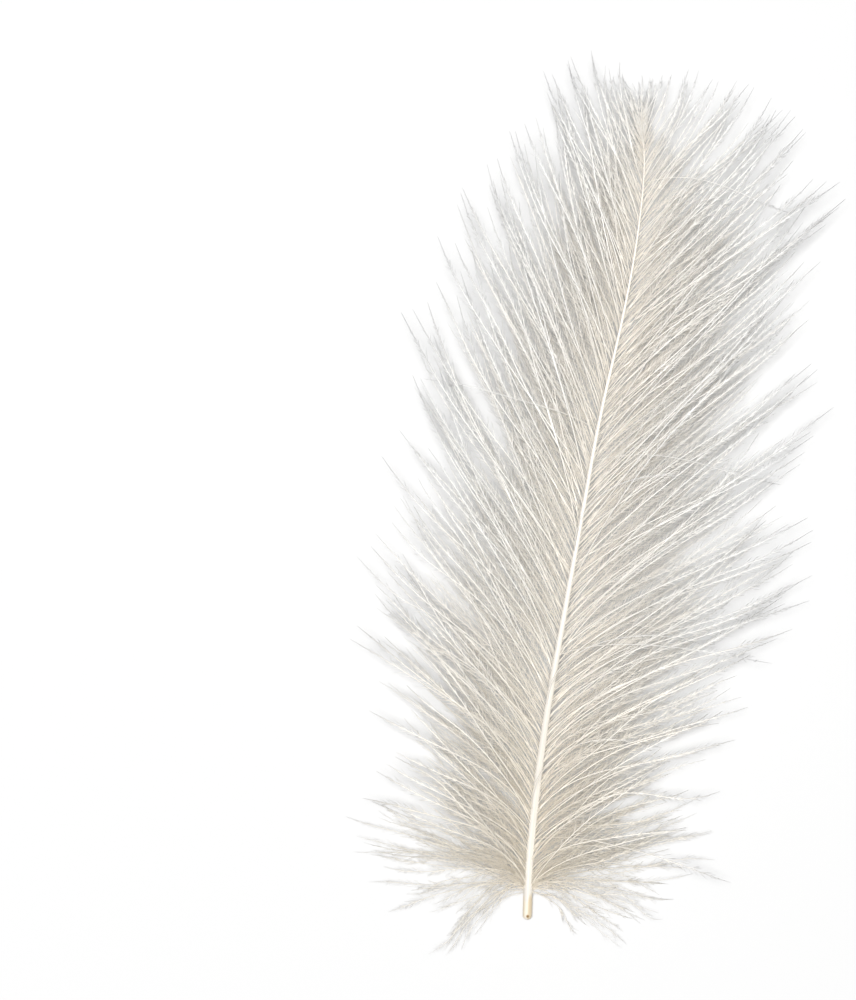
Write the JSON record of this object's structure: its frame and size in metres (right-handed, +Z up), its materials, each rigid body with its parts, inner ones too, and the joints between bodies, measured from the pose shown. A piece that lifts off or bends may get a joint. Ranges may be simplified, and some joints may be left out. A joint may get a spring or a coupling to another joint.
{
  "type": "cul de canard feather",
  "caption": "Soft cream-white downy feather lying flat: a thin bowed shaft with a short bare quill and fluffy vanes of fine loose barbs on both sides.",
  "frame": {"origin": "under the middle of the feather's bounding box, on the surface it lies on", "axes": "+Y along the feather from the quill towards the tip, +X to the right of the shaft seen from above, +Z up from the surface it lies on"},
  "size_m": [0.042, 0.0763, 0.0063],
  "materials": {
    "down": "matte",
    "shaft": "satin"
  },
  "bodies": {
    "root": {"feather": "down"}
  },
  "joints": []
}
